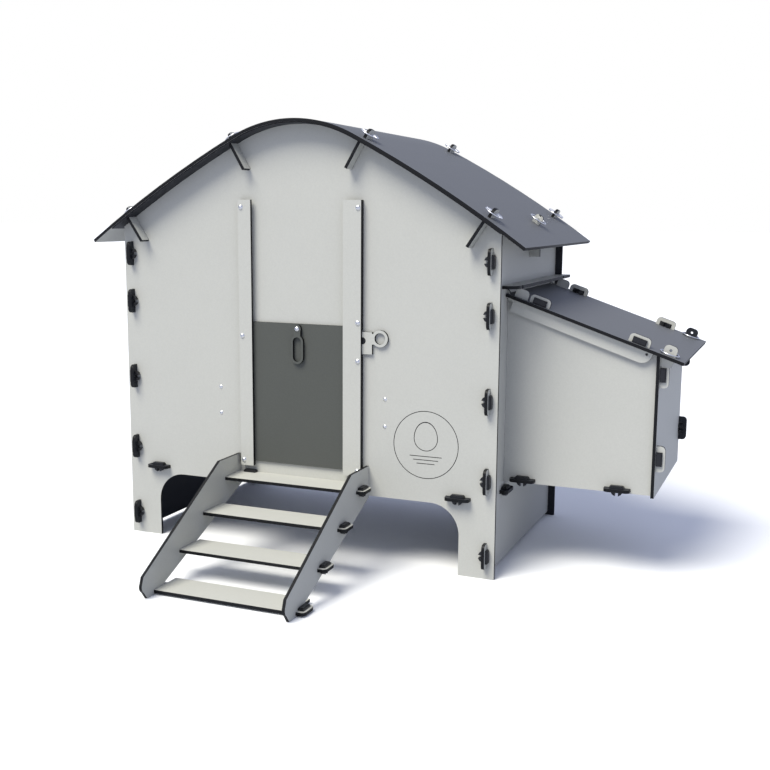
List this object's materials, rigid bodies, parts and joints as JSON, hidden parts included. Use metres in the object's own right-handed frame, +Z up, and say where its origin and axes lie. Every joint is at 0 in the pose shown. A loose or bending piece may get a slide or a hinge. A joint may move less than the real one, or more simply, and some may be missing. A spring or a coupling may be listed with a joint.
{
  "type": "chicken coop",
  "caption": "Raised chicken coop of slotted laminate sheets with an arched roof, a sliding pop door, a ladder and a side nest box with a hinged lid.",
  "frame": {"origin": "middle of the bounding box, on the ground", "axes": "+X towards the nest box, +Y from the pop door to the back, +Z up"},
  "size_m": [1.168, 0.8638, 0.847],
  "materials": {
    "light_laminate": "matt light grey faces, black core at the edges",
    "dark_laminate": "matt dark grey face, black core at the edges",
    "black_laminate": "matt black",
    "door_laminate": "matt dark grey-green face",
    "clip_plastic": "fine-grained black moulding",
    "black_plastic": "smooth black moulding",
    "steel": "bright zinc-plated steel",
    "wood": "planed pine, rounded on top"
  },
  "bodies": {
    "cabin": {"front_panel": "light_laminate", "back_panel": "light_laminate", "left_side_wall": "light_laminate", "right_side_wall": "light_laminate", "floor_panel": "light_laminate", "roof_sheet": "dark_laminate", "roof_lining": "black_laminate", "outer_purlin_left": "light_laminate", "inner_purlin_left": "light_laminate", "inner_purlin_right": "light_laminate", "outer_purlin_right": "light_laminate", "middle_rib": "light_laminate", "left_rail_spacer": "light_laminate", "left_rail_cover": "light_laminate", "right_rail_spacer": "light_laminate", "right_rail_cover": "light_laminate", "rail_screws": "steel", "rail_nuts": "steel", "latch_stop_stud": "black_plastic", "perch_left": "wood", "perch_right": "wood", "perch_brackets": "black_plastic", "perch_screws": "steel", "nest_side_near": "light_laminate", "nest_side_far": "light_laminate", "nest_outer_panel": "light_laminate", "nest_floor": "light_laminate", "nest_divider": "light_laminate", "rain_deflector": "light_laminate", "ladder_side_left": "light_laminate", "ladder_side_right": "light_laminate", "tread_1": "light_laminate", "tread_2": "light_laminate", "tread_3": "light_laminate", "tread_4": "light_laminate", "front_clips": "clip_plastic", "back_clips": "clip_plastic", "wall_clips": "clip_plastic", "nest_clips": "clip_plastic", "ladder_clips": "clip_plastic", "roof_ring_pins": "steel"},
    "door": {"pop_door": "door_laminate", "handle_screw": "steel"},
    "handle": {"door_handle": "door_laminate"},
    "latch": {"latch_plate": "light_laminate"},
    "lid": {"nest_lid": "dark_laminate", "lid_cheek_near": "light_laminate", "lid_cheek_far": "light_laminate", "lid_clips": "clip_plastic", "lid_ring_pins": "steel"}
  },
  "joints": [
    {"name": "door_slide", "type": "slide", "parent": "cabin", "child": "door", "axis": [0, 0, 1], "range_m": [0, 0.232]},
    {"name": "handle_swing", "type": "hinge", "parent": "door", "child": "handle", "pos_m": [-0.13253, -0.089, 0.4525], "axis": [0, 1, 0], "range_deg": [-100, 100]},
    {"name": "latch_slide", "type": "slide", "parent": "cabin", "child": "latch", "axis": [1, 0, 0], "range_m": [0, 0.016]},
    {"name": "nest_lid_hinge", "type": "hinge", "parent": "cabin", "child": "lid", "pos_m": [0.25147, 0.1824, 0.52651], "axis": [0, -1, 0], "range_deg": [0, 30]}
  ]
}
